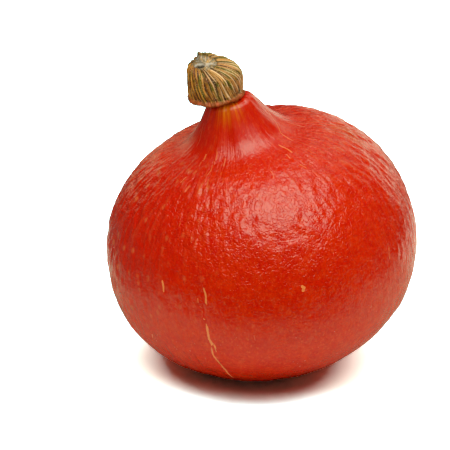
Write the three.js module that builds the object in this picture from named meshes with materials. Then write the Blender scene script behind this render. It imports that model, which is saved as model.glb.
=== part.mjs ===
// A small onion-shaped pumpkin: a round leaning fruit that rises to a neck, and its corky cut stem.
// Millimetres, +Z up. The origin is the middle of the flat ground spot that the fruit rests on.
import * as THREE from 'three';

// Fruit sizes, along its own axis from the middle of its widest ring
const FRUIT_RADIUS = 85;
const BLOSSOM_DEPTH = 67.6;
const FOOT_RADIUS = 38;
const FOOT_HEIGHT = 65.6;
const FOOT_SLOPE = THREE.MathUtils.degToRad(15);
const NECK_RADIUS = 13;
const NECK_HEIGHT = 92.6;
const NECK_FLARE = THREE.MathUtils.degToRad(29);
const NECK_EDGE_DEPTH = 3;
const NECK_EDGE_WIDTH = 4.6;

// Fullness of the outline: how far the handles of its curves reach
const BLOSSOM_FULLNESS = 0.56 * FRUIT_RADIUS;
const LOWER_FULLNESS = 0.63 * BLOSSOM_DEPTH;
const UPPER_FULLNESS = 0.63 * FOOT_HEIGHT;
const FOOT_OUTER_REACH = 16;
const FOOT_INNER_REACH = 13;
const NECK_REACH = 19;

// Slight lobes, the lean of the whole fruit and the bow of its neck
const LOBES = 3;
const LOBE_DEPTH = 0.013;
const LEAN_LEFT = THREE.MathUtils.degToRad(12.3);
const LEAN_FRONT = THREE.MathUtils.degToRad(8);
const BOW_START = 35;
const BOW_RIGHT = 1.2;
const BOW_FRONT = 5.6;

// Blossom scar at the lower pole: a low ring round a dimple
const SCAR_RING_RADIUS = 4.5;
const SCAR_RING_WIDTH = 1.4;
const SCAR_RING_HEIGHT = 0.6;
const SCAR_DIMPLE_DEPTH = 1.2;

// Ground spot: under its weight the fruit swells towards the ground and lies flat on it
const SWELL_DEPTH = 1.2;
const SWELL_WIDTH = 16;
const SWELL_CENTRE = new THREE.Vector2(5, 3);
const GROUND_DROP = 67.9;

// Stem sizes, along the fruit's axis from the top of the neck
const STEM_BASE_RADIUS = 14.6;
const STEM_BASE_HEIGHT = 1;
const STEM_SEAT_RADIUS = 9;
const STEM_LIP_RADIUS = 13.4;
const STEM_LIP_RISE = 3.4;
const STEM_LIP_SWEEP = 0.7;
const STEM_WALL_HANDLE = new THREE.Vector2(15.2, 9);
const STEM_SHOULDER_HANDLE = new THREE.Vector2(16.8, 20.8);
const STEM_CUT_RADIUS = 7.4;
const STEM_CUT_HEIGHT = 21.2;
const STEM_GAP = 0.3;

// The stem stands left of the neck's middle, leans a little to the right and is cut off at its left
const STEM_LEFT_OF_NECK = 7;
const STEM_LEAN_RIGHT = 0.13;
const STEM_CUT_LEFT = 9;
const STEM_CUT_TO_FRONT = Math.tan(THREE.MathUtils.degToRad(7));
const STEM_CUT_TO_RIGHT = Math.tan(THREE.MathUtils.degToRad(10));

// Ridges down the stem on broader folds, both unevenly spaced by waves that shift them round the stem
const RIDGES = 29;
const FOLDS = 11;
const RIDGE_DEPTH = 0.8;
const FOLD_DEPTH = 0.5;
const SHIFTS = [
  { waves: 3, size: 1.1, start: 1 },
  { waves: 7, size: 0.8, start: 2 },
];

// Cut end: two pith hollows side by side and a torn splinter at the far left of the rim
const CUT_SINK = 1;
const PITH_WIDTH = 1.5;
const PITH_DEPTH = 1.8;
const PITH_SPACING = 5.4;
const SPLINTER_HEIGHT = 2.8;
const SPLINTER_ROOT = 1;
const SPLINTER_ANGLE = THREE.MathUtils.degToRad(112);
const SPLINTER_SPREAD = 0.2;

// Facets round each piece and along its outline
const FRUIT_SECTORS = 64;
const BELLY_RINGS = 20;
const BLOSSOM_BUNCHING = 1.4;
const SHOULDER_RINGS = 13;
const NECK_RINGS = 9;
const NECK_EDGE_RINGS = 4;
const STEM_SECTORS = 120;
const STEM_WALL_RINGS = 9;
const STEM_CUT_RINGS = 5;

const skin = new THREE.MeshStandardMaterial({ color: 0xc8280a, roughness: 0.4, metalness: 0 });
const cork = new THREE.MeshStandardMaterial({ color: 0x8f6a32, roughness: 0.8, metalness: 0 });

// A bell curve: 1 in the middle, faded away at about three widths.
function bell(distance, width) {
  return Math.exp(-0.5 * (distance / width) ** 2);
}

// Points along one cubic curve without its last point: bunching over 1 sets them closer at its start.
function stepsAlong(corners, count, bunching = 1) {
  const curve = new THREE.CubicBezierCurve(...corners);
  return Array.from({ length: count }, (_, step) => curve.getPointAt((step / count) ** bunching));
}

// A lathe solid about Z whose vertices are then moved by a rule on the vertex and its angle from +X.
function shapedLathe(profile, sectors, rule) {
  const geometry = new THREE.LatheGeometry(profile, sectors).rotateX(Math.PI / 2);
  const positions = geometry.getAttribute('position');
  const vertex = new THREE.Vector3();
  for (let i = 0; i < positions.count; i += 1) {
    vertex.fromBufferAttribute(positions, i);
    rule(vertex, Math.atan2(vertex.y, vertex.x));
    positions.setXYZ(i, vertex.x, vertex.y, vertex.z);
  }
  geometry.computeVertexNormals();
  return geometry;
}

// The fruit's outline, from the blossom end up to the middle of the neck's top.
function fruitProfile() {
  const pole = new THREE.Vector2(0, -BLOSSOM_DEPTH);
  const widest = new THREE.Vector2(FRUIT_RADIUS, 0);
  const foot = new THREE.Vector2(FOOT_RADIUS, FOOT_HEIGHT);
  const slope = new THREE.Vector2(Math.cos(FOOT_SLOPE), -Math.sin(FOOT_SLOPE));
  const neckTop = new THREE.Vector2(NECK_RADIUS, NECK_HEIGHT - NECK_EDGE_DEPTH);
  const neckEdge = new THREE.Vector2(NECK_RADIUS - NECK_EDGE_WIDTH, NECK_HEIGHT);
  const flare = new THREE.Vector2(Math.sin(NECK_FLARE), -Math.cos(NECK_FLARE));
  const belly = [
    pole,
    new THREE.Vector2(BLOSSOM_FULLNESS, -BLOSSOM_DEPTH),
    new THREE.Vector2(FRUIT_RADIUS, -LOWER_FULLNESS),
    widest,
  ];
  const shoulder = [
    widest,
    new THREE.Vector2(FRUIT_RADIUS, UPPER_FULLNESS),
    foot.clone().addScaledVector(slope, FOOT_OUTER_REACH),
    foot,
  ];
  const neck = [
    foot,
    foot.clone().addScaledVector(slope, -FOOT_INNER_REACH),
    neckTop.clone().addScaledVector(flare, NECK_REACH),
    neckTop,
  ];
  const edge = [
    neckTop,
    neckTop.clone().addScaledVector(flare, -NECK_EDGE_DEPTH / 2),
    new THREE.Vector2(NECK_RADIUS - NECK_EDGE_WIDTH / 2, NECK_HEIGHT),
    neckEdge,
  ];
  return [
    ...stepsAlong(belly, BELLY_RINGS, BLOSSOM_BUNCHING),
    ...stepsAlong(shoulder, SHOULDER_RINGS),
    ...stepsAlong(neck, NECK_RINGS),
    ...stepsAlong(edge, NECK_EDGE_RINGS),
    neckEdge,
    new THREE.Vector2(0, NECK_HEIGHT),
  ];
}

// The lean of the fruit, with the ground at height zero.
function leanMatrix() {
  const lean = new THREE.Matrix4().makeRotationFromEuler(new THREE.Euler(LEAN_FRONT, -LEAN_LEFT, 0));
  return lean.setPosition(0, 0, GROUND_DROP);
}

function makeFruit() {
  const lean = leanMatrix();
  const geometry = shapedLathe(fruitProfile(), FRUIT_SECTORS, (vertex, angle) => {
    const radius = Math.hypot(vertex.x, vertex.y);
    if (vertex.z < 0) {
      vertex.z -= SCAR_RING_HEIGHT * bell(radius - SCAR_RING_RADIUS, SCAR_RING_WIDTH);
      vertex.z += SCAR_DIMPLE_DEPTH * bell(radius, SCAR_RING_RADIUS / 2);
    }
    const lobe = 1 - LOBE_DEPTH * Math.cos(LOBES * angle);
    const bow = Math.max(0, (vertex.z - BOW_START) / (NECK_HEIGHT - BOW_START)) ** 2;
    vertex.x = vertex.x * lobe + BOW_RIGHT * bow;
    vertex.y = vertex.y * lobe - BOW_FRONT * bow;
    vertex.applyMatrix4(lean);
    if (vertex.z < GROUND_DROP) {
      const reach = Math.hypot(vertex.x - SWELL_CENTRE.x, vertex.y - SWELL_CENTRE.y);
      vertex.z = Math.max(0, vertex.z - SWELL_DEPTH * bell(reach, SWELL_WIDTH));
    }
  });
  const fruit = new THREE.Mesh(geometry, skin);
  fruit.name = 'fruit';
  return fruit;
}

// The stem's outline: underside, lip, wall and rim, then inwards over the cut.
function stemProfile() {
  const rim = new THREE.Vector2(STEM_CUT_RADIUS, STEM_CUT_HEIGHT);
  const wall = [
    new THREE.Vector2(STEM_BASE_RADIUS, STEM_BASE_HEIGHT),
    STEM_WALL_HANDLE,
    STEM_SHOULDER_HANDLE,
    rim,
  ];
  const cut = [];
  for (let ring = 1; ring <= STEM_CUT_RINGS; ring += 1) {
    const radius = STEM_CUT_RADIUS * (1 - ring / STEM_CUT_RINGS);
    cut.push(new THREE.Vector2(radius, STEM_CUT_HEIGHT - CUT_SINK));
  }
  return [
    new THREE.Vector2(0, 0),
    new THREE.Vector2(STEM_SEAT_RADIUS, 0),
    new THREE.Vector2(STEM_LIP_RADIUS, 0),
    ...stepsAlong(wall, STEM_WALL_RINGS),
    rim,
    ...cut,
  ];
}

// How deep the stem's surface lies under its outline at this angle.
function grooveDepth(angle) {
  const shifts = SHIFTS.map(({ waves, size, start }) => size * Math.sin(waves * angle + start));
  const shift = shifts.reduce((sum, each) => sum + each, 0);
  const betweenRidges = 0.5 - 0.5 * Math.cos(RIDGES * angle + shift);
  const betweenFolds = 0.5 - 0.5 * Math.cos(FOLDS * angle + 2 * shift);
  return RIDGE_DEPTH * betweenRidges + FOLD_DEPTH * betweenFolds;
}

function makeStem() {
  const geometry = shapedLathe(stemProfile(), STEM_SECTORS, (vertex, angle) => {
    const radius = Math.hypot(vertex.x, vertex.y);
    const share = vertex.z / STEM_CUT_HEIGHT;
    if (share > 0.5 && radius < STEM_CUT_RADIUS - STEM_GAP) {
      const toLeftPith = Math.hypot(vertex.x + PITH_SPACING / 2, vertex.y);
      const toRightPith = Math.hypot(vertex.x - PITH_SPACING / 2, vertex.y);
      vertex.z -= PITH_DEPTH * (bell(toLeftPith, PITH_WIDTH) + bell(toRightPith, PITH_WIDTH));
    } else if (share > 0) {
      const inward = 1 - grooveDepth(angle) / radius;
      vertex.x *= inward;
      vertex.y *= inward;
      const towardsRim = bell(vertex.z - STEM_CUT_HEIGHT, SPLINTER_ROOT);
      vertex.z += SPLINTER_HEIGHT * bell(angle - SPLINTER_ANGLE, SPLINTER_SPREAD) * towardsRim;
    }
    if (radius > STEM_SEAT_RADIUS + STEM_GAP) {
      vertex.z += STEM_LIP_RISE * (1 - share) * (0.5 - 0.5 * Math.cos(angle)) ** STEM_LIP_SWEEP;
    }
    if (share > 0.5) {
      vertex.x -= STEM_CUT_LEFT * Math.max(0, 1 - Math.max(radius, STEM_CUT_RADIUS) / STEM_BASE_RADIUS);
    }
    vertex.z += (STEM_CUT_TO_FRONT * vertex.y - STEM_CUT_TO_RIGHT * vertex.x) * share ** 2;
    vertex.x += STEM_LEAN_RIGHT * STEM_CUT_HEIGHT * share;
  });
  const stem = new THREE.Mesh(geometry, cork);
  stem.name = 'stem';
  stem.position.set(BOW_RIGHT - STEM_LEFT_OF_NECK, -BOW_FRONT, NECK_HEIGHT + STEM_GAP);
  return stem;
}

const leaning = new THREE.Group();
leanMatrix().decompose(leaning.position, leaning.quaternion, leaning.scale);
leaning.add(makeStem());

const pumpkin = new THREE.Group();
pumpkin.add(makeFruit(), leaning);

export default pumpkin;
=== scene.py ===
"""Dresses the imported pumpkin: a fine fruit and stem, procedural skin and cork, light and camera."""

import logging
import math
from collections.abc import Mapping, Sequence
from dataclasses import dataclass, field
from enum import Enum

import bmesh
import bpy
from mathutils import Color, Euler, Matrix, Vector, noise
from mathutils.geometry import interpolate_bezier


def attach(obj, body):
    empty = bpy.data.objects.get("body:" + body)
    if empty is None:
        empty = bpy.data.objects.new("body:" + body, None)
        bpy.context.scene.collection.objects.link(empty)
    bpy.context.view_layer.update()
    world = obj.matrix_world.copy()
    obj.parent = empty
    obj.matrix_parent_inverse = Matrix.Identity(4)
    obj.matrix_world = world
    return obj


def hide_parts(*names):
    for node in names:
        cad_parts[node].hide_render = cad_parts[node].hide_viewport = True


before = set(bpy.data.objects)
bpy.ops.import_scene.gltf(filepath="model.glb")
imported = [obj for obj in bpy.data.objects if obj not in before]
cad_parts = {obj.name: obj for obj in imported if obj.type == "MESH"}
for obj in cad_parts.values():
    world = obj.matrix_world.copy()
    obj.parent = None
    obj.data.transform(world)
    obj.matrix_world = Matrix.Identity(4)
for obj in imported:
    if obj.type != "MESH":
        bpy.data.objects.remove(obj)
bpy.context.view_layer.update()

log = logging.getLogger("pumpkin")

# Shapes are worked out in millimetres and become metres in the meshes.
MM = 0.001
BODY = "root"
# A skin is spun one wedge wide, and the wedge is then repeated round the axis.
WEDGES = 8
# Points closer than this, in millimetres, are one.
MERGE_DISTANCE = 1e-4
# The bare front of the belly, where its lines fade, in degrees from +X.
FRONT = -75
WHITE = (1.0, 1.0, 1.0)

Colour = tuple[float, float, float, float]
Point = tuple[float, float]
Triple = tuple[float, float, float]


class Lit(Enum):
    """What a lamp shines on."""

    ALL = "all"
    FLOOR = "floor"
    PUMPKIN = "pumpkin"


def colour(red: float, green: float, blue: float) -> Colour:
    """The linear light of a colour that was picked on a screen, each part from 0 to 255."""
    light = Color((red / 255, green / 255, blue / 255)).from_srgb_to_scene_linear()
    return (*light, 1.0)


def bell(distance: float, width: float) -> float:
    """A bell curve: 1 in the middle, faded away at about three widths."""
    return math.exp(-0.5 * (distance / width) ** 2)


def ease(value: float, low: float, high: float) -> float:
    """Rises smoothly from 0 at low to 1 at high."""
    share = min(1.0, max(0.0, (value - low) / (high - low)))
    return share * share * (3 - 2 * share)


def wave(turn: float, power: float = 1.0) -> float:
    """A wave that is 1 at each full turn and 0 half way, narrower with a higher power."""
    return (0.5 + 0.5 * math.cos(turn)) ** power


class Wire:
    """One output of a shader graph, on which arithmetic adds Math nodes."""

    def __init__(self, graph: "Graph", socket: bpy.types.NodeSocket) -> None:
        """Keeps the graph and the socket that the value comes out of."""
        self.graph = graph
        self.socket = socket

    def __add__(self, other: "Wire | float") -> "Wire":
        """The sum."""
        return self.graph.math("ADD", self, other)

    __radd__ = __add__

    def __sub__(self, other: "Wire | float") -> "Wire":
        """The difference."""
        return self.graph.math("SUBTRACT", self, other)

    def __rsub__(self, other: float) -> "Wire":
        """The difference, with a number first."""
        return self.graph.math("SUBTRACT", other, self)

    def __mul__(self, other: "Wire | float") -> "Wire":
        """The product."""
        return self.graph.math("MULTIPLY", self, other)

    __rmul__ = __mul__

    def __abs__(self) -> "Wire":
        """The size without its sign."""
        return self.graph.math("ABSOLUTE", self)

    def rise(self, low: "Wire | float", high: "Wire | float") -> "Wire":
        """Rises smoothly from 0 at low to 1 at high.

        Args:
            low: The value up to which the result is 0.
            high: The value from which the result is 1.

        Returns:
            The smooth step.
        """
        settings = {"interpolation_type": "SMOOTHSTEP"}
        inputs = {"Value": self, "From Min": low, "From Max": high}
        return self.graph.add("ShaderNodeMapRange", settings, inputs, 0)

    def fall(self, low: "Wire | float", high: "Wire | float") -> "Wire":
        """Falls smoothly from 1 at low to 0 at high."""
        return 1 - self.rise(low, high)


Paint = Wire | Colour


class Graph:
    """A material's node tree, written as expressions."""

    def __init__(self, name: str) -> None:
        """Makes an empty material.

        Args:
            name: The material's name.
        """
        self.material = bpy.data.materials.new(name)
        self.material.use_nodes = True
        self.tree = self.material.node_tree
        self.tree.nodes.clear()

    def add(
        self,
        kind: str,
        settings: Mapping[str, object],
        inputs: Mapping[str | int, object],
        output: str | int,
    ) -> Wire:
        """Adds one node.

        Args:
            kind: The node's type.
            settings: The node's own settings, which are set first.
            inputs: A wire or a plain value for each named or numbered socket.
            output: The name or number of the socket to go on from.

        Returns:
            The wire that comes out of the node.
        """
        node = self.tree.nodes.new(kind)
        for name, value in settings.items():
            setattr(node, name, value)
        for key, value in inputs.items():
            if isinstance(value, Wire):
                self.tree.links.new(value.socket, node.inputs[key])
            else:
                node.inputs[key].default_value = value
        return Wire(self, node.outputs[output])

    def math(self, operation: str, *values: Wire | float) -> Wire:
        """Adds a Math node for an operation on one or two values."""
        return self.add("ShaderNodeMath", {"operation": operation}, dict(enumerate(values)), 0)

    def attribute(self, name: str) -> Wire:
        """The mesh's own attribute of that name, as a vector."""
        return self.add("ShaderNodeAttribute", {"attribute_name": name}, {}, "Vector")

    def place(self) -> Wire:
        """The place on the piece in millimetres."""
        metres = self.add("ShaderNodeTexCoord", {}, {}, "Object")
        return self.stretch(metres, (1 / MM, 1 / MM, 1 / MM))

    def stretch(self, vector: Wire, by: Triple) -> Wire:
        """Multiplies a vector's parts."""
        return self.add("ShaderNodeVectorMath", {"operation": "MULTIPLY"}, {0: vector, 1: by}, 0)

    def away(self, vector: Wire, point: Triple) -> Wire:
        """The distance from a point."""
        inputs = {0: vector, 1: point}
        return self.add("ShaderNodeVectorMath", {"operation": "DISTANCE"}, inputs, "Value")

    def part(self, vector: Wire, axis: str) -> Wire:
        """One part of a vector, named X, Y or Z."""
        return self.add("ShaderNodeSeparateXYZ", {}, {0: vector}, axis)

    def noise(self, vector: Wire, size: float, detail: float = 2.0, roughness: float = 0.5) -> Wire:
        """Cloudy noise around 0.5.

        Args:
            vector: Where it is read.
            size: How large its clouds are, in the vector's units.
            detail: How many finer layers are added.
            roughness: How strong the finer layers are.

        Returns:
            The noise from 0 to 1.
        """
        inputs = {"Vector": vector, "Scale": 1 / size, "Detail": detail, "Roughness": roughness}
        return self.add("ShaderNodeTexNoise", {}, inputs, 0)

    def cells(self, vector: Wire, size: float) -> Wire:
        """The distance from the middle of scattered cells, as a share of their size."""
        inputs = {"Vector": vector, "Scale": 1 / size}
        return self.add("ShaderNodeTexVoronoi", {"feature": "F1"}, inputs, "Distance")

    def mix(self, under: Paint, over: Paint, share: Wire | float) -> Wire:
        """Lays one colour over another.

        Args:
            under: The colour where share is 0.
            over: The colour where share is 1.
            share: How much of the upper colour shows.

        Returns:
            The mixed colour.
        """
        settings = {"data_type": "RGBA", "clamp_factor": True}
        return self.add("ShaderNodeMix", settings, {0: share, 6: under, 7: over}, 2)

    def layers(self, ground: Paint, coats: Sequence[tuple[Paint, Wire]]) -> Paint:
        """Lays coats of colour over a ground, one after the other.

        Args:
            ground: The colour under all of them.
            coats: Each coat's colour, and how much of it shows.

        Returns:
            The mixed colour.
        """
        for over, share in coats:
            ground = self.mix(ground, over, share)
        return ground

    def bump(self, height: Wire, depth: float) -> Wire:
        """Relief too fine for the mesh.

        Args:
            height: The relief from 0 to 1.
            depth: Its depth in millimetres.

        Returns:
            The bent normal.
        """
        inputs = {"Strength": 1.0, "Distance": depth * MM, "Height": height}
        return self.add("ShaderNodeBump", {}, inputs, 0)

    def finish(self, surface: Wire) -> bpy.types.Material:
        """Connects the surface to the material's output.

        Args:
            surface: The finished shader.

        Returns:
            The finished material.
        """
        end = self.tree.nodes.new("ShaderNodeOutputMaterial")
        self.tree.links.new(surface.socket, end.inputs["Surface"])
        return self.material


def curve_through(corners: Sequence[Point], count: int) -> list[Point]:
    """Points along one cubic curve, without its last.

    Args:
        corners: The curve's start, two handles and end.
        count: How many points.

    Returns:
        The points from the start on.
    """
    start, first, second, end = (Vector((x, y, 0.0)) for x, y in corners)
    return [(p.x, p.y) for p in interpolate_bezier(start, first, second, end, count + 1)[:-1]]


def line_between(start: Point, end: Point, count: int) -> list[Point]:
    """Evenly spaced points from start towards end, without the end."""
    steps = (step / count for step in range(count))
    return [(start[0] + t * (end[0] - start[0]), start[1] + t * (end[1] - start[1])) for t in steps]


def onward(start: Point, slope: float, reach: float) -> Point:
    """The point that lies a reach outwards from start, down a slope in radians."""
    return (start[0] + reach * math.cos(slope), start[1] - reach * math.sin(slope))


def length_of(points: Sequence[Point]) -> float:
    """The length of a line through points."""
    return sum(math.dist(start, end) for start, end in zip(points, points[1:]))


def spun(outline: Sequence[Point], sectors: int) -> bmesh.types.BMesh:
    """Spins an outline round Z into a closed skin.

    Args:
        outline: Radius and height of each ring, from pole to pole, in millimetres.
        sectors: How many steps make the full turn.

    Returns:
        The skin, with each vertex's distance along the outline in its layer "arc".
    """
    mesh = bmesh.new()
    arc = mesh.verts.layers.float.new("arc")
    travelled = 0.0
    last: bmesh.types.BMVert | None = None
    for radius, height in outline:
        vertex = mesh.verts.new((radius, 0.0, height))
        if last:
            travelled += (vertex.co - last.co).length
            mesh.edges.new((last, vertex))
        vertex[arc] = travelled
        last = vertex
    strip = list(mesh.verts) + list(mesh.edges)
    wedge = math.tau / WEDGES
    bmesh.ops.spin(
        mesh, geom=strip, cent=(0, 0, 0), axis=(0, 0, 1), dvec=(0, 0, 0),
        angle=wedge, steps=sectors // WEDGES, use_merge=False, use_duplicate=False,
    )
    first = list(mesh.verts) + list(mesh.edges) + list(mesh.faces)
    for turn in range(1, WEDGES):
        copied = bmesh.ops.duplicate(mesh, geom=first)["geom"]
        corners = [part for part in copied if isinstance(part, bmesh.types.BMVert)]
        turned = Matrix.Rotation(turn * wedge, 3, "Z")
        bmesh.ops.rotate(mesh, cent=(0, 0, 0), matrix=turned, verts=corners)
    bmesh.ops.remove_doubles(mesh, verts=mesh.verts, dist=MERGE_DISTANCE)
    bmesh.ops.recalc_face_normals(mesh, faces=mesh.faces)
    mesh.normal_update()
    return mesh


def placed(name: str, data: bpy.types.ID) -> bpy.types.Object:
    """A new object in the scene."""
    thing = bpy.data.objects.new(name, data)
    bpy.context.scene.collection.objects.link(thing)
    return thing


def piece_from(
    mesh: bmesh.types.BMesh,
    name: str,
    attributes: Mapping[str, Sequence[Vector]],
) -> bpy.types.Object:
    """Turns a finished bmesh into an object at the origin, in metres, with smooth faces.

    Args:
        mesh: The bmesh in millimetres, which is freed.
        name: The piece's name.
        attributes: Vectors for each vertex, by the attribute's name.

    Returns:
        The new object.
    """
    bmesh.ops.scale(mesh, vec=(MM, MM, MM), verts=mesh.verts)
    for face in mesh.faces:
        face.smooth = True
    data = bpy.data.meshes.new(name)
    mesh.to_mesh(data)
    mesh.free()
    for label, values in attributes.items():
        layer = data.attributes.new(label, "FLOAT_VECTOR", "POINT")
        layer.data.foreach_set("vector", [number for value in values for number in value])
    return placed(name, data)


@dataclass(frozen=True)
class Crack:
    """A healed corky crack: its way down, as angles in degrees and distances along the outline."""

    route: tuple[Point, ...]
    half_width: float

    def spans(self, arc: float, reach: float) -> bool:
        """Whether a distance along the outline lies within reach of the crack."""
        return self.route[-1][1] - reach < arc < self.route[0][1] + reach


@dataclass(frozen=True)
class Patch:
    """A soft patch on the skin: its angle in degrees, its distance along the outline and its reach."""

    angle: float
    arc: float
    reach: float
    core: float = 0.2

    def share(self, flow: Wire) -> Wire:
        """How much of the patch shows.

        Args:
            flow: The fruit's flow lines.

        Returns:
            1 in the core of the patch, 0 beyond its reach.
        """
        angle = math.radians(self.angle)
        middle = (Fruit.radius * math.cos(angle), Fruit.radius * math.sin(angle), self.arc)
        return flow.graph.away(flow, middle).fall(self.core * self.reach, self.reach)


@dataclass(frozen=True)
class Skin:
    """The fruit's waxy skin, with bands from and to a distance along the outline, in millimetres."""

    # Painted shade, laid into the valleys of the long lines and over the neck.
    painted_shade: Colour = colour(164, 10, 0)
    deep: Colour = colour(209, 22, 0)
    warm: Colour = colour(223, 47, 0)
    orange: Colour = colour(250, 150, 20)
    # Pale marks of the skin, and also the painted sheen on the long lines' crests and the painted glints
    # among the dashes.
    pale: Colour = colour(226, 104, 54)
    cork: Colour = colour(248, 150, 76)
    tinge: Colour = colour(186, 128, 70)
    ground: Colour = colour(224, 130, 40)
    dust: Colour = colour(222, 176, 156)
    gloss: Colour = (0.5, 1.0, 0.9, 1.0)
    roughness: float = 0.125
    shine: float = 0.7
    wrinkle_depth: float = 0.2
    front_patch: Patch = Patch(FRONT, 165, 75)
    flank_patch: Patch = Patch(-150, 172, 78)
    fleck_and_glint_patch: Patch = Patch(-122, 196, 52)
    blush_patch: Patch = Patch(-95, 252, 64)
    tinge_patch: Patch = Patch(3, 184, 20)
    mote_band: Point = (95, 125)
    blush_band: Point = (232, 252)
    dull_band: Point = (250, 259)
    ground_band: Point = (0.5, 9.0)

    def material(self, fruit: "Fruit") -> bpy.types.Material:
        """Paints the skin along the fruit's own flow lines.

        Args:
            fruit: The fruit, for the places of its shoulder and neck.

        Returns:
            The skin's material.
        """
        graph = Graph("skin")
        flow = graph.attribute("flow")
        place = graph.place()
        along = graph.part(flow, "Z")
        shoulder = along.rise(fruit.arc_widest + 10, fruit.arc_foot)
        neck = along.rise(fruit.arc_foot - 8, fruit.arc_foot + 14)
        flank = self.flank_patch.share(flow)
        streaks = graph.noise(graph.stretch(flow, (1, 1, 0.06)), 4.0, 4.0, 0.65)
        cork, bare = self.healed(graph, place)

        mottle = graph.noise(place, 7.0, 6.0, 0.75)
        speckle = graph.noise(graph.stretch(place, (1, 1, 0.6)), 1.2, 2.0, 0.6)
        patches = graph.noise(flow, 11.0, 1.0).rise(0.38, 0.55)
        dots = graph.cells(graph.stretch(place, (1, 1, 0.8)), 6.0).fall(0.12, 0.34) * patches
        dashes_and_glints = graph.noise(graph.stretch(flow, (1, 1, 0.45)), 3.2, 1.0).rise(0.64, 0.72)
        motes = graph.cells(place, 3.0).fall(0.06, 0.16) * graph.noise(place, 13.0, 1.0).rise(0.54, 0.66)
        ridge = graph.part(graph.attribute("ridge"), "X")
        blush = self.blush_patch.share(flow) * along.rise(*self.blush_band)
        base = graph.layers(self.deep, (
            (self.warm, mottle.rise(0.3, 0.72)),
            (self.warm, streaks.rise(0.5, 0.7) * (0.2 + 0.5 * shoulder)),
            (self.warm, speckle.rise(0.45, 0.7) * 0.6),
            (self.deep, speckle.fall(0.3, 0.5) * 0.7),
            (self.pale, speckle.rise(0.56, 0.76) * 0.3),
            (self.deep, flank * 0.6),
            (self.pale, dots * (0.15 + 0.65 * flank)),
            (self.pale, streaks.rise(0.52, 0.7) * flank * 0.14),
            # Pale dashes left of the highlight: partly lenticels, partly painted glints.
            (self.pale, dashes_and_glints * self.fleck_and_glint_patch.share(flow) * 0.8),
            (self.dust, motes * along.fall(*self.mote_band) * 0.6),
            # Painted shade in the valleys of the long lines, and painted sheen on their crests.
            (self.painted_shade, ridge.fall(-0.35, 0.0) * (0.06 + 0.14 * shoulder)),
            (self.pale, ridge.rise(0.1, 0.4) * (0.08 + 0.22 * shoulder) * (1 - 0.6 * flank)),
            (self.deep, neck * streaks.fall(0.4, 0.6) * 0.6),
            # Painted shade: the whole neck a little darker.
            (self.painted_shade, neck * 0.12),
            (self.orange, blush * (0.25 + streaks.rise(0.42, 0.62)) * 0.8),
            (self.tinge, self.tinge_patch.share(flow) * streaks.rise(0.4, 0.65) * 0.35),
            (self.cork, cork * bare * 0.85),
            (self.ground, graph.part(place, "Z").fall(*self.ground_band) * 0.5),
        ))

        worms = abs(graph.noise(place, 3.2, 2.0, 0.6) - 0.5).rise(0.0, 0.1)
        swells = graph.noise(place, 4.4, 2.0)
        threads = graph.noise(place, 1.3, 1.0)
        collar = along.rise(fruit.arc_foot + 2, fruit.arc_foot + 18)
        wrinkles = (0.65 * worms + 1.7 * swells + 0.28 * threads) * (1 - 0.75 * collar)
        front = self.front_patch.share(flow)
        furrows = streaks * (0.7 + 0.3 * shoulder) * (1 - 0.8 * front) * (1 - 0.75 * flank)
        grain = graph.noise(place, 0.6, 1.0)
        rough = self.roughness + 0.1 * (grain - 0.5) + 0.25 * cork
        return graph.finish(graph.add("ShaderNodeBsdfPrincipled", {}, {
            "Base Color": base,
            "Roughness": rough + 0.04 * neck + 0.4 * along.rise(*self.dull_band),
            "Normal": graph.bump(wrinkles + 3.0 * furrows * (1 - 0.45 * neck), self.wrinkle_depth),
            "Specular IOR Level": self.shine,
            "Specular Tint": self.gloss,
        }, 0))

    def healed(self, graph: Graph, place: Wire) -> tuple[Wire, Wire]:
        """Where the skin has healed over a crack.

        Args:
            graph: The skin's graph.
            place: The place on the fruit.

        Returns:
            The corky line from 0 to 1, and how strongly a crack of its width shows.
        """
        mark = graph.attribute("mark")
        share = graph.part(mark, "Y")
        half_width = graph.part(mark, "Z")
        wobble = graph.noise(place, 1.4, 2.0) - 0.5
        across = abs(graph.part(mark, "X") + 0.4 * wobble)
        taper = share.rise(0.0, 0.15) * share.fall(0.85, 1.0)
        width = half_width * (0.5 + graph.noise(place, 2.2, 1.0)) * taper
        line = (width - across).rise(-0.16, 0.12) * taper.rise(0.0, 0.3)
        return line, half_width.rise(0.1, 0.55)


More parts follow.
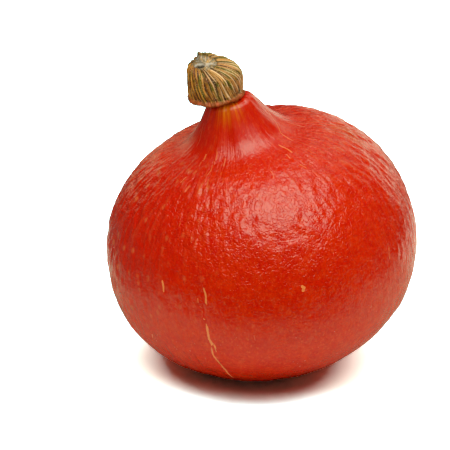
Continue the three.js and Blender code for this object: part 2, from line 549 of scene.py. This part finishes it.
@dataclass(frozen=True)
class Cork:
    """The stem's dry ridged rind and its cut end, with bands in millimetres."""

    pale: Colour = colour(246, 212, 156)
    gold: Colour = colour(206, 142, 52)
    tan: Colour = colour(226, 176, 98)
    ochre: Colour = colour(184, 120, 30)
    brown: Colour = colour(148, 74, 16)
    dark: Colour = colour(62, 34, 8)
    olive: Colour = colour(112, 110, 14)
    rust: Colour = colour(196, 94, 44)
    grey: Colour = colour(148, 142, 114)
    white: Colour = colour(232, 226, 208)
    hollow: Colour = colour(56, 54, 42)
    roughness: float = 0.55
    fibre_depth: float = 0.45
    left_band: Point = (-9.0, 2.0)
    lip_band: Point = (2.4, 3.8)

    def material(self) -> bpy.types.Material:
        """Paints cords pale with painted shadow beside each, the rind between them brown and green, and
        the cut grey with painted shade in its hollows.

        Returns:
            The cork's material.
        """
        graph = Graph("cork")
        grain = graph.attribute("grain")
        flow = graph.attribute("flow")
        place = graph.place()
        cord = graph.part(grain, "X")
        cord_shadow = graph.part(grain, "Y")
        pith = graph.part(grain, "Z")
        left = graph.part(flow, "X").fall(*self.left_band)
        lip = graph.part(flow, "Z").fall(*self.lip_band)
        bands = graph.noise(graph.stretch(flow, (1, 1, 0.25)), 2.6, 2.0)
        stains = graph.noise(graph.stretch(flow, (1, 1, 0.45)), 3.4, 2.0)
        fibres = graph.noise(graph.stretch(flow, (1, 1, 0.08)), 0.8, 2.0)
        threads = graph.noise(graph.stretch(flow, (1, 1, 0.06)), 0.65, 1.0)
        rays = graph.noise(graph.stretch(flow, (1, 1, 0)), 1.2, 2.0)
        flakes = graph.noise(place, 0.5, 1.0)
        specks = graph.noise(place, 1.1, 2.0)
        glints = graph.noise(place, 0.7, 1.0).rise(0.55, 0.65)
        rind = graph.layers(self.brown, (
            (self.ochre, bands.rise(0.38, 0.62)),
            (self.tan, left.fall(0.0, 1.0) * 0.45),
            (self.olive, stains.rise(0.5, 0.58) * 0.95),
            (self.tan, threads.rise(0.55, 0.7) * 0.6),
            (self.dark, threads.fall(0.34, 0.46) * 0.7),
            # Painted shadow: a dark band beside each cord.
            (self.dark, cord_shadow * (0.35 + bands.fall(0.4, 0.6))),
            (self.pale, flakes.rise(0.62, 0.72) * 0.75),
        ))
        face = graph.layers(self.tan, (
            (self.grey, rays.rise(0.35, 0.6)),
            (self.white, specks.rise(0.5, 0.66) * 0.7),
            # Painted shade: the cut's left half darker, and the pith hollows nearly black, darkest on
            # the left.
            (self.hollow, left * 0.5),
            (self.white, pith.rise(0.02, 0.2) * pith.fall(0.25, 0.5) * 0.7),
            (self.hollow, pith.rise(0.2, 0.7) * (0.35 + 0.65 * left)),
        ))
        base = graph.layers(rind, (
            (graph.mix(self.pale, self.gold, left), cord.rise(0.35, 0.65) * fibres.rise(0.32, 0.46)),
            (graph.mix(self.rust, self.brown, bands.rise(0.36, 0.52)), lip),
            (face, pith.rise(-0.7, -0.4)),
        ))
        return graph.finish(graph.add("ShaderNodeBsdfPrincipled", {}, {
            "Base Color": base,
            "Roughness": self.roughness - 0.3 * glints,
            "Normal": graph.bump(fibres + 0.8 * specks, self.fibre_depth),
        }, 0))


@dataclass
class Fruit:
    """The whole fruit, from its flat ground spot to the neck's top, in millimetres along its axis."""

    radius: float = 85.0
    blossom_depth: float = 67.6
    foot_radius: float = 38.0
    foot_height: float = 65.6
    foot_slope: float = math.radians(15)
    neck_radius: float = 13.0
    neck_height: float = 92.6
    neck_flare: float = math.radians(29)
    neck_edge: float = 3.0
    neck_round: float = 4.6
    blossom_fullness: float = 0.56
    lower_fullness: float = 0.63
    upper_fullness: float = 0.63
    foot_outer_reach: float = 16.0
    foot_inner_reach: float = 13.0
    neck_reach: float = 19.0
    lobes: int = 3
    lobe_depth: float = 0.013
    lean_left: float = math.radians(12.3)
    lean_front: float = math.radians(8)
    bow_start: float = 35.0
    bow_right: float = 1.2
    bow_front: float = 5.6
    scar_radius: float = 4.5
    scar_width: float = 1.4
    scar_height: float = 0.6
    scar_dimple: float = 1.2
    swell_depth: float = 1.2
    swell_width: float = 16.0
    swell_centre: Point = (5.0, 3.0)
    ground_drop: float = 67.9
    line_depth: float = 0.95
    line_spacing: float = 2.2
    line_length: float = 8.0
    line_waver: float = 0.4
    waver_size: float = 16.0
    # How deep the larger and the smaller dents are, and how wide.
    dents: tuple[Point, ...] = ((0.5, 28.0), (0.3, 12.0))
    crumple_depth: float = 0.7
    crumple_size: float = 7.0
    crease_depth: float = 0.28
    crease_size: float = 3.6
    flute_depth: float = 0.7
    flute_count: float = 4.5
    flute_length: float = 160.0
    shoulder_lead: float = 20.0
    blossom_band: Point = (8, 24)
    front_angle: float = math.radians(FRONT)
    front_spread: float = math.radians(30)
    sectors: int = 512
    belly_rings: int = 78
    shoulder_rings: int = 68
    neck_rings: int = 30
    edge_rings: int = 6
    crack_reach: float = 1.8
    far: float = 8.0
    arc_widest: float = field(init=False)
    arc_foot: float = field(init=False)
    cracks: tuple[Crack, ...] = (
        Crack(((-111, 144), (-110.5, 138), (-111, 136), (-110.5, 134)), 0.5),
        Crack(((-113, 131), (-113.5, 127)), 0.2),
        Crack(((-114, 138), (-114, 135)), 0.3),
        Crack(((-112.5, 124), (-112.5, 120), (-113, 113), (-112, 110), (-111.5, 106)), 0.6),
        Crack(((-113, 110), (-114, 102), (-113, 92), (-113, 86), (-114, 71)), 0.5),
        Crack(((-129, 146), (-128.5, 143), (-128.5, 139)), 0.5),
        Crack(((-76, 137), (-75, 135.5), (-76, 133.5)), 0.65),
        Crack(((-36.5, 133), (-38.5, 126)), 0.3),
        Crack(((-96, 115), (-96, 111)), 0.2),
        Crack(((-141, 109), (-142.5, 105)), 0.3),
        Crack(((-130, 221), (-129, 217)), 0.35),
        Crack(((-115.5, 223), (-114.5, 217)), 0.3),
        Crack(((-116.5, 215), (-115.5, 210), (-116.5, 206)), 0.3),
        Crack(((-104, 219), (-105, 213)), 0.3),
        Crack(((-131, 216), (-129.5, 212)), 0.25),
        Crack(((-133.5, 204), (-134.5, 199)), 0.3),
        Crack(((-163, 237), (-159, 233), (-153, 227), (-152, 223)), 0.2),
        Crack(((2, 237), (-16, 226), (-28, 221), (-31, 211)), 0.3),
        Crack(((-45.5, 217), (-44.5, 211), (-45.5, 206)), 0.35),
        Crack(((-50, 208), (-51, 204)), 0.3),
        Crack(((-50, 198), (-49, 193)), 0.3),
        Crack(((-69.5, 203), (-69, 199), (-70.5, 196)), 0.25),
        Crack(((0, 221), (-1, 215), (-2.5, 208)), 0.25),
    )

    def __post_init__(self) -> None:
        """Measures how far along the outline the widest ring and the neck's foot lie."""
        points = self.outline()
        rings = self.belly_rings
        self.arc_widest = length_of(points[:rings + 1])
        self.arc_foot = length_of(points[:rings + self.shoulder_rings + 1])

    def outline(self) -> list[Point]:
        """The fruit's outline from the blossom end up to the middle of the neck's top.

        Returns:
            Radius and height of each ring.
        """
        pole = (0.0, -self.blossom_depth)
        blossom = (self.blossom_fullness * self.radius, -self.blossom_depth)
        lower = (self.radius, -self.lower_fullness * self.blossom_depth)
        widest = (self.radius, 0.0)
        upper = (self.radius, self.upper_fullness * self.foot_height)
        foot = (self.foot_radius, self.foot_height)
        outer = onward(foot, self.foot_slope, self.foot_outer_reach)
        inner = onward(foot, self.foot_slope, -self.foot_inner_reach)
        top = (self.neck_radius, self.neck_height - self.neck_edge)
        pull = onward(top, math.pi / 2 - self.neck_flare, self.neck_reach)
        edge = (self.neck_radius - self.neck_round, self.neck_height)
        wall = onward(top, math.pi / 2 - self.neck_flare, -0.5 * self.neck_edge)
        rim = (edge[0] + 0.5 * self.neck_round, edge[1])
        return [
            *curve_through((pole, blossom, lower, widest), self.belly_rings),
            *curve_through((widest, upper, outer, foot), self.shoulder_rings),
            *curve_through((foot, inner, pull, top), self.neck_rings),
            *curve_through((top, wall, rim, edge), self.edge_rings),
            *line_between(edge, (0.0, self.neck_height), self.edge_rings),
            (0.0, self.neck_height),
        ]

    def lean(self) -> Matrix:
        """The fruit's lean, with the ground at height zero."""
        turn = Euler((self.lean_front, -self.lean_left, 0.0), "XYZ").to_matrix().to_4x4()
        return Matrix.Translation((0.0, 0.0, self.ground_drop)) @ turn

    def relief(self, spot: Vector, angle: float, arc: float) -> float:
        """How far the grown skin stands out from the smooth fruit.

        Args:
            spot: The place on the smooth fruit.
            angle: The angle from +X.
            arc: The distance along the outline.

        Returns:
            The height of dents, ripples and wrinkles in millimetres.
        """
        dents = sum(depth * noise.noise(spot / size) for depth, size in self.dents)
        crumples = 0.5 - abs(noise.noise(spot / self.crumple_size + Vector((4.0, 0.0, 0.0))))
        creases = 0.5 - abs(noise.noise(spot / self.crease_size + Vector((0.0, 9.0, 0.0))))
        neck = ease(arc, self.arc_foot - 14, self.arc_foot + 8)
        folds = self.crumple_depth * crumples + self.crease_depth * creases
        folds *= (0.3 + 0.7 * self.upward(arc)) * (1 - 0.8 * neck)
        ring = Vector((math.cos(angle), math.sin(angle), arc / self.flute_length)) * self.flute_count
        flutes = self.flute_depth * neck * noise.noise(ring)
        lines = self.line_depth * spot.xy.length / self.radius * self.furrow(spot, angle, arc)
        return dents * ease(arc, 0, 40) + ease(arc, *self.blossom_band) * folds + flutes + lines

    def upward(self, arc: float) -> float:
        """Rises from 0 below the widest ring to 1 on the shoulder."""
        return ease(arc, self.arc_widest - self.shoulder_lead, self.arc_foot - self.shoulder_lead)

    def furrow(self, spot: Vector, angle: float, arc: float) -> float:
        """How the skin's long lines rise and fall, strongest on the shoulder.

        Args:
            spot: The place on the smooth fruit.
            angle: The angle from +X.
            arc: The distance along the outline.

        Returns:
            The line's height, within -1 and 1.
        """
        ring = Vector((math.cos(angle), math.sin(angle), 0.0)) * self.radius
        waver = self.line_waver * noise.noise(spot / self.waver_size)
        neck = ease(arc, self.arc_foot - 2, self.arc_foot + 14)
        front = bell(math.remainder(angle - self.front_angle, math.tau), self.front_spread)
        strength = (0.45 + 0.55 * self.upward(arc)) * (1 - 0.8 * front) * (1 - 0.75 * neck)
        strength *= ease(arc, *self.blossom_band)
        drift = Vector((waver, waver, arc / self.line_length))
        return strength * noise.noise(ring / self.line_spacing + drift)

    def settle(self, spot: Vector, angle: float, lean: Matrix) -> Vector:
        """Bows, leans and rests one point of the fruit.

        Args:
            spot: The point along the fruit's own axis.
            angle: Its angle from +X.
            lean: The lean of the whole fruit.

        Returns:
            The point as it stands on the ground.
        """
        lobe = 1 - self.lobe_depth * math.cos(self.lobes * angle)
        bow = max(0.0, (spot.z - self.bow_start) / (self.neck_height - self.bow_start)) ** 2
        right = spot.x * lobe + self.bow_right * bow
        back = spot.y * lobe - self.bow_front * bow
        stood = lean @ Vector((right, back, spot.z))
        if stood.z < self.ground_drop:
            reach = math.hypot(stood.x - self.swell_centre[0], stood.y - self.swell_centre[1])
            stood.z = max(0.0, stood.z - self.swell_depth * bell(reach, self.swell_width))
        return stood

    def mark(self, radius: float, angle: float, arc: float) -> Vector:
        """Where a point lies on the nearest crack.

        Args:
            radius: The radius of the point's ring.
            angle: Its angle from +X.
            arc: Its distance along the outline.

        Returns:
            The distance across the crack, the share of its length and its half width there.
        """
        nearest = Vector((self.far, -1.0, -self.far))
        least = self.crack_reach
        for crack in self.cracks:
            if not crack.spans(arc, least):
                continue
            stops = [Vector((math.radians(turn) * radius, stop)) for turn, stop in crack.route]
            length = sum((end - start).length for start, end in zip(stops, stops[1:]))
            travelled = 0.0
            for start, end in zip(stops, stops[1:]):
                step = end - start
                offset = Vector((angle * radius, arc)) - start
                share = offset.dot(step) / step.length_squared
                away = (offset - step * min(1.0, max(0.0, share))).length
                if away < least:
                    least = away
                    side = (step.x * offset.y - step.y * offset.x) / step.length
                    part = (travelled + share * step.length) / length
                    nearest = Vector((side, part, crack.half_width))
                travelled += step.length
        return nearest

    def build(self) -> bpy.types.Object:
        """Models the fruit.

        Returns:
            The fruit's object.
        """
        mesh = spun(self.outline(), self.sectors)
        arcs = mesh.verts.layers.float["arc"]
        lean = self.lean()
        flows: list[Vector] = []
        marks: list[Vector] = []
        ridges: list[Vector] = []
        for vertex in mesh.verts:
            radius = math.hypot(vertex.co.x, vertex.co.y)
            angle = math.atan2(vertex.co.y, vertex.co.x)
            arc = vertex[arcs]
            marks.append(self.mark(radius, angle, arc))
            ridges.append(Vector((self.furrow(vertex.co, angle, arc), 0.0, 0.0)))
            spot = vertex.co + vertex.normal * self.relief(vertex.co, angle, arc)
            if spot.z < 0:
                spot.z -= self.scar_height * bell(radius - self.scar_radius, self.scar_width)
                spot.z += self.scar_dimple * bell(radius, self.scar_radius / 2)
            flows.append(Vector((self.radius * math.cos(angle), self.radius * math.sin(angle), arc)))
            vertex.co = self.settle(spot, angle, lean)
        return piece_from(mesh, "fruit_skin", {"flow": flows, "mark": marks, "ridge": ridges})

    def dress(self, piece: bpy.types.Object) -> None:
        """Gives the fruit its skin and its place in the frame.

        Args:
            piece: The fruit's object.
        """
        piece.data.materials.append(Skin().material(self))
        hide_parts("fruit")
        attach(piece, BODY)


@dataclass
class Stem:
    """The corky stem on the neck, in millimetres from the neck's top along the fruit's axis."""

    base_radius: float = 14.6
    base_height: float = 1.0
    seat_radius: float = 9.0
    lip_radius: float = 13.4
    lip_bulge: float = 0.7
    lip_curl: float = 0.4
    lip_rise: float = 3.4
    wall_handle: Point = (15.2, 9.0)
    shoulder_handle: Point = (16.8, 20.8)
    cut_radius: float = 7.4
    cut_height: float = 21.2
    cut_sink: float = 1.0
    cut_grain: float = 0.3
    cut_grain_size: float = 1.1
    rim_width: float = 1.0
    rim_raggedness: float = 1.2
    left_of_neck: float = 7.0
    lean_right: float = 0.13
    cut_left: float = 9.0
    cut_to_front: float = math.tan(math.radians(7))
    cut_to_right: float = math.tan(math.radians(10))
    cords: int = 36
    cord_drift: float = 6.0
    fibre_pitch: float = 2.6
    fibre_height: float = 0.5
    groove_depth: float = 1.25
    fold_depth: float = 0.5
    roll_height: float = 0.7
    twist: float = math.radians(26)
    twist_centre: float = math.radians(-50)
    pith_radius: float = 3.1
    pith_depth: float = 3.6
    pith_spacing: float = 5.4
    splinter_height: float = 2.8
    splinter_root: float = 1.0
    splinter_angle: float = math.radians(112)
    splinter_spread: float = 0.2
    chip_height: float = 1.6
    chip_angle: float = math.radians(80)
    chip_spread: float = 0.16
    knob_angle: float = math.radians(-62)
    knob_spread: float = 0.2
    knob_height: float = 1.0
    knob_place: float = 4.0
    knob_size: float = 1.6
    frill: float = 1.1
    frill_band: Point = (1.5, 6.0)
    flow_radius: float = 15.0
    sectors: int = 520
    seat_rings: int = 4
    lip_rings: int = 6
    wall_rings: int = 80
    rim_rings: int = 5
    cut_rings: int = 34

    def outline(self) -> list[Point]:
        """The stem's outline: underside, lip, wall and rim, then inwards over the cut.

        Returns:
            Radius and height of each ring.
        """
        base = (self.base_radius, self.base_height)
        rim = (self.cut_radius, self.cut_height)
        bed = (self.cut_radius - self.rim_width, self.cut_height - self.cut_sink)
        seat = (self.seat_radius, 0.0)
        lip = (self.lip_radius, 0.0)
        bulge = (self.lip_radius + self.lip_bulge, 0.0)
        curl = (self.base_radius, self.lip_curl)
        return [
            *line_between((0.0, 0.0), seat, self.seat_rings),
            *line_between(seat, lip, self.lip_rings),
            *curve_through((lip, bulge, curl, base), self.lip_rings),
            *curve_through((base, self.wall_handle, self.shoulder_handle, rim), self.wall_rings),
            *line_between(rim, bed, self.rim_rings),
            *line_between(bed, (0.0, bed[1]), self.cut_rings),
            (0.0, bed[1]),
        ]

    def cord(self, label: float, height: float) -> tuple[float, float]:
        """How high the rind's cords stand at one place, and how dark the painted shadow beside them is.

        Args:
            label: The angle of the place's flow line.
            height: The height on the stem.

        Returns:
            The cord from 0 between crests to 1 on one, and the painted shadow beside it from 0 to 1.
        """
        around = Vector((math.cos(label), math.sin(label), 0.0))
        drift = noise.noise(around * 2.6 + Vector((0.0, 0.0, height / 16)))
        turn = self.cords * label + self.cord_drift * drift
        worn = noise.noise(around * 6 + Vector((5.0, 0.0, height / 8)))
        crest = wave(turn, 4) * (0.3 + 0.7 * ease(worn, -0.4, 0.2))
        fibre = self.fibre_height * wave(self.fibre_pitch * turn + 2, 3)
        # The second value is a painted shadow band, offset to one side of each crest.
        return max(crest, fibre), wave(turn - 1.9, 4)

    def hollow(self, spot: Vector) -> float:
        """How deep the pith has sunk at one place of the cut, from 0 to 1."""
        middles = (Vector((side * self.pith_spacing / 2, 0.0)) for side in (-1, 1))
        least = min((spot.xy - middle).length for middle in middles)
        return 1 - ease(least, 0.5 * self.pith_radius, self.pith_radius)

    def build(self, fruit: Fruit) -> bpy.types.Object:
        """Models the stem where it sits on the fruit's neck.

        Args:
            fruit: The fruit that carries it.

        Returns:
            The stem's object.
        """
        mesh = spun(self.outline(), self.sectors)
        seat = Vector((fruit.bow_right - self.left_of_neck, -fruit.bow_front, fruit.neck_height))
        stand = fruit.lean() @ Matrix.Translation(seat)
        flows: list[Vector] = []
        grains: list[Vector] = []
        for vertex in mesh.verts:
            radius = math.hypot(vertex.co.x, vertex.co.y)
            angle = math.atan2(vertex.co.y, vertex.co.x)
            spot = vertex.co.copy()
            share = spot.z / self.cut_height
            label = angle - self.twist * wave(angle - self.twist_centre) * (1 - share)
            around = Vector((math.cos(label), math.sin(label), 0.0))
            cord, cord_shadow = self.cord(label, spot.z)
            pith = -1.0
            if share > 0.5 and radius < self.cut_radius - 0.05:
                pith = self.hollow(spot)
                grain = self.cut_grain * noise.noise(spot / self.cut_grain_size)
                spot.z += grain - self.pith_depth * pith
            elif share > 0:
                cord = self.grow_rind(spot, angle, around, cord)
            if radius > self.seat_radius + 0.3:
                spot.z += self.lip_rise * (1 - share) * wave(angle + math.pi, 0.7)
                spot.z += self.frill * noise.noise(around * 4.5) * (1 - ease(spot.z, *self.frill_band))
            if share > 0.5:
                spot.x -= self.cut_left * max(0.0, 1 - max(radius, self.cut_radius) / self.base_radius)
            spot.z += (self.cut_to_front * spot.y - self.cut_to_right * spot.x) * share ** 2
            spot.x += self.lean_right * self.cut_height * share
            flows.append(around * self.flow_radius + Vector((0.0, 0.0, vertex.co.z)))
            grains.append(Vector((cord, cord_shadow, pith)))
            vertex.co = stand @ spot
        return piece_from(mesh, "stem_cork", {"flow": flows, "grain": grains})

    def grow_rind(self, spot: Vector, angle: float, around: Vector, cord: float) -> float:
        """Moves one point of the wall to where its roll, folds, cord and torn rim have grown.

        Args:
            spot: The point on the smooth stem, which is moved.
            angle: Its angle from +X.
            around: The direction of its flow line.
            cord: How high its cord stands, from 0 to 1.

        Returns:
            How much of the cord is left, since the splinter has none.
        """
        towards_rim = bell(spot.z - self.cut_height, self.splinter_root)
        rolled = 1 - ease(spot.z, 1.6, 3.6)
        knob = bell(angle - self.knob_angle, self.knob_spread)
        knob *= bell(spot.z - self.knob_place, self.knob_size)
        out = self.roll_height * (bell(spot.z - 1.4, 0.9) - 0.7 * bell(spot.z - 3.7, 0.7))
        out += self.fold_depth * noise.noise(around * 2.4 + Vector((0.0, 0.0, spot.z / 25)))
        out += self.knob_height * knob - self.groove_depth * (1 - cord) * (1 - 0.75 * rolled)
        wider = 1 + out / math.hypot(spot.x, spot.y)
        torn = bell(angle - self.splinter_angle, self.splinter_spread)
        chipped = bell(angle - self.chip_angle, self.chip_spread)
        spot.x *= wider
        spot.y *= wider
        spot.z += (self.splinter_height * torn + self.chip_height * chipped) * towards_rim
        spot.z += self.rim_raggedness * noise.noise(around * 8) * towards_rim
        return cord * (1 - torn * towards_rim)

    def dress(self, piece: bpy.types.Object) -> None:
        """Gives the stem its cork and its place in the frame.

        Args:
            piece: The stem's object.
        """
        piece.data.materials.append(Cork().material())
        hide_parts("stem")
        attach(piece, BODY)


@dataclass(frozen=True)
class Paper:
    """The floor's white paper in metres, which the camera sees overexposed, with a painted warm tint by
    the fruit for the red light it bounces into its shadow.
    """

    lit: Colour = (0.64, 0.64, 0.64, 1.0)
    mirrored: Colour = (0.38, 0.32, 0.21, 1.0)
    backdrop: Colour = (0.78, 0.68, 0.52, 1.0)
    dark: Colour = (0.004, 0.004, 0.004, 1.0)
    seen: Colour = (2.12, 3.25, 3.4, 1.0)
    seen_bounce_tint: Colour = (1.9, 2.12, 1.88, 1.0)
    front: float = -0.135
    left: float = -0.19
    right: float = 0.34
    behind: float = 0.15
    left_dim: float = 0.15
    edge: float = 0.04
    close: float = 0.04
    clear: float = 0.066
    clear_shape: Triple = (0.6, 1.0, 1.0)

    def material(self) -> bpy.types.Material:
        """Makes paper that looks whiter than white, and that lights the fruit only where the sheet lies.

        Returns:
            The floor's material.
        """
        graph = Graph("paper")
        spot = graph.add("ShaderNodeTexCoord", {}, {}, "Object")
        across, back = graph.part(spot, "X"), graph.part(spot, "Y")
        sheet = back.rise(self.front - self.edge, self.front + self.edge)
        near_left = across.rise(self.left - self.edge, self.left + self.edge)
        near_right = across.fall(self.right - self.edge, self.right + self.edge)
        sheet = sheet * (self.left_dim + (1 - self.left_dim) * near_left)
        glossy = graph.add("ShaderNodeLightPath", {}, {}, "Is Glossy Ray")
        far = back.rise(self.behind - 2 * self.edge, self.behind + 2 * self.edge)
        mirrored = graph.mix(self.dark, graph.mix(self.mirrored, self.backdrop, far), near_right)
        pale = graph.mix(self.lit, mirrored, glossy)
        light = graph.add("ShaderNodeBsdfDiffuse", {}, {"Color": graph.mix(self.dark, pale, sheet)}, 0)
        away = graph.away(graph.stretch(spot, self.clear_shape), (0.0, 0.0, 0.0))
        # Painted warm tint by the fruit, for the red light it bounces into its shadow.
        white = graph.mix(self.seen_bounce_tint, self.seen, away.rise(self.close, self.clear))
        bright = graph.add("ShaderNodeBsdfDiffuse", {}, {"Color": white}, 0)
        seen = graph.add("ShaderNodeLightPath", {}, {}, "Is Camera Ray")
        return graph.finish(graph.add("ShaderNodeMixShader", {}, {0: seen, 1: light, 2: bright}, 0))


@dataclass(frozen=True)
class Lamp:
    """A soft lamp that points at the fruit, in metres and degrees."""

    name: str
    azimuth: float
    elevation: float
    distance: float
    width: float
    height: float
    radiance: float
    glossy: bool = True
    diffuse: bool = True
    lit: Lit = Lit.PUMPKIN
    tint: Triple = (1.0, 0.96, 0.86)

    def build(self, target: Vector, groups: Mapping[Lit, bpy.types.Collection]) -> None:
        """Hangs the lamp.

        Args:
            target: The point that it shines at.
            groups: The objects that a lamp can be kept to.
        """
        data = bpy.data.lights.new(self.name, "AREA")
        data.shape = "RECTANGLE"
        data.size = self.width
        data.size_y = self.height
        data.color = self.tint
        data.energy = self.radiance * math.pi * self.width * self.height
        lamp = placed(self.name, data)
        azimuth, elevation = math.radians(self.azimuth), math.radians(self.elevation)
        towards = Vector((
            math.sin(azimuth) * math.cos(elevation),
            -math.cos(azimuth) * math.cos(elevation),
            math.sin(elevation),
        ))
        lamp.location = target + towards * self.distance
        lamp.rotation_euler = towards.to_track_quat("Z", "Y").to_euler()
        lamp.visible_camera = False
        lamp.visible_glossy = self.glossy
        lamp.visible_diffuse = self.diffuse
        if self.lit in groups:
            lamp.light_linking.receiver_collection = groups[self.lit]


@dataclass
class Studio:
    """The pale floor, soft lamps and camera, in metres and degrees."""

    image: float = 450.0
    sensor: float = 36.0
    elevation: float = 20.0
    distance: float = 1.2
    pixels_per_mm: float = 1.822
    centre_pixel: Point = (263.5, 244.2)
    floor_size: float = 6.0
    floor_drop: float = 0.0003
    world_light: float = 0.02
    lamps: tuple[Lamp, ...] = (
        Lamp("key", 5, 60, 1.0, 0.84, 0.66, 2.5, lit=Lit.ALL),
        Lamp("key halo", 7, 64, 1.05, 1.3, 1.1, 1.4, diffuse=False),
        Lamp("back left", 211, 14, 1.4, 0.5, 0.6, 1.0, tint=(1.0, 0.96, 0.58)),
        Lamp("back right", 152, 40, 1.4, 0.8, 0.6, 1.0, tint=(1.0, 0.96, 0.68)),
        Lamp("low right", 153, 9, 1.4, 0.9, 0.5, 1.5, tint=(1.0, 0.96, 0.7)),
        Lamp("top", 180, 80, 1.4, 1.0, 1.0, 2.1, glossy=False, lit=Lit.ALL),
        Lamp("front", 0, 28, 1.2, 1.4, 0.5, 3.9, glossy=False),
        Lamp("left side", 262, 12, 1.2, 0.6, 0.6, 2.0, glossy=False),
        Lamp("right side", 98, 14, 1.2, 0.6, 0.6, 2.2, glossy=False),
        Lamp("back", 180, 24, 1.2, 1.4, 0.5, 2.0, glossy=False),
        Lamp("left wash", 285, 64, 1.6, 0.9, 0.9, 7.8, glossy=False, lit=Lit.FLOOR, tint=WHITE),
        Lamp("right wash", 75, 57, 1.6, 0.9, 0.9, 10, glossy=False, lit=Lit.FLOOR, tint=WHITE),
    )

    def set_camera(self, middle: Vector) -> None:
        """Stands the camera at the photograph's viewing angle.

        Args:
            middle: The middle of the fruit's widest ring.
        """
        tilt = math.radians(self.elevation)
        forward = Vector((0.0, math.cos(tilt), -math.sin(tilt)))
        up = Vector((0.0, math.sin(tilt), math.cos(tilt)))
        right = Vector((1.0, 0.0, 0.0))
        per_pixel = MM / self.pixels_per_mm
        aim = middle + right * (self.image / 2 - self.centre_pixel[0]) * per_pixel
        aim += up * (self.centre_pixel[1] - self.image / 2) * per_pixel
        data = bpy.data.cameras.new("camera")
        data.sensor_width = self.sensor
        data.lens = self.sensor * self.pixels_per_mm * self.distance / MM / self.image
        camera = placed("camera", data)
        camera.location = middle - forward * self.distance
        camera.rotation_euler = (camera.location - aim).to_track_quat("Z", "Y").to_euler()
        bpy.context.scene.camera = camera

    def lay_floor(self) -> bpy.types.Object:
        """Lays a plain pale floor.

        Returns:
            The floor's object.
        """
        mesh = bmesh.new()
        bmesh.ops.create_grid(mesh, x_segments=1, y_segments=1, size=self.floor_size / 2)
        bmesh.ops.translate(mesh, vec=(0, 0, -self.floor_drop), verts=mesh.verts)
        data = bpy.data.meshes.new("floor")
        mesh.to_mesh(data)
        mesh.free()
        floor = placed("floor", data)
        data.materials.append(Paper().material())
        return floor

    def light(self, middle: Vector, floor: bpy.types.Object, pieces: Sequence[bpy.types.Object]) -> None:
        """Hangs the lamps and sets the room's dim light.

        Args:
            middle: The point that the lamps shine at.
            floor: The floor, which some lamps are kept to.
            pieces: The pumpkin's pieces, which others are kept to.
        """
        groups = {lit: bpy.data.collections.new(lit.value) for lit in (Lit.FLOOR, Lit.PUMPKIN)}
        groups[Lit.FLOOR].objects.link(floor)
        for piece in pieces:
            groups[Lit.PUMPKIN].objects.link(piece)
        for lamp in self.lamps:
            lamp.build(middle, groups)
        world = bpy.data.worlds.new("room")
        world.use_nodes = True
        background = world.node_tree.nodes["Background"]
        background.inputs["Strength"].default_value = self.world_light
        background.inputs["Color"].default_value = (*WHITE, 1.0)
        bpy.context.scene.world = world
        bpy.context.scene.view_settings.view_transform = "Standard"


def main() -> None:
    """Builds the studio, the fruit and the stem, and notes the model's size."""
    logging.basicConfig(level=logging.INFO, format="%(relativeCreated)d ms %(message)s")
    fruit = Fruit()
    middle = Vector((0.0, 0.0, fruit.ground_drop * MM))
    studio = Studio()
    studio.set_camera(middle)
    floor = studio.lay_floor()
    skin = fruit.build()
    fruit.dress(skin)
    stem = Stem()
    cork = stem.build(fruit)
    stem.dress(cork)
    for piece in (skin, cork):
        log.info("%s: %d faces", piece.name, len(piece.data.polygons))
    studio.light(middle, floor, (skin, cork))


if __name__ == "__main__":
    main()
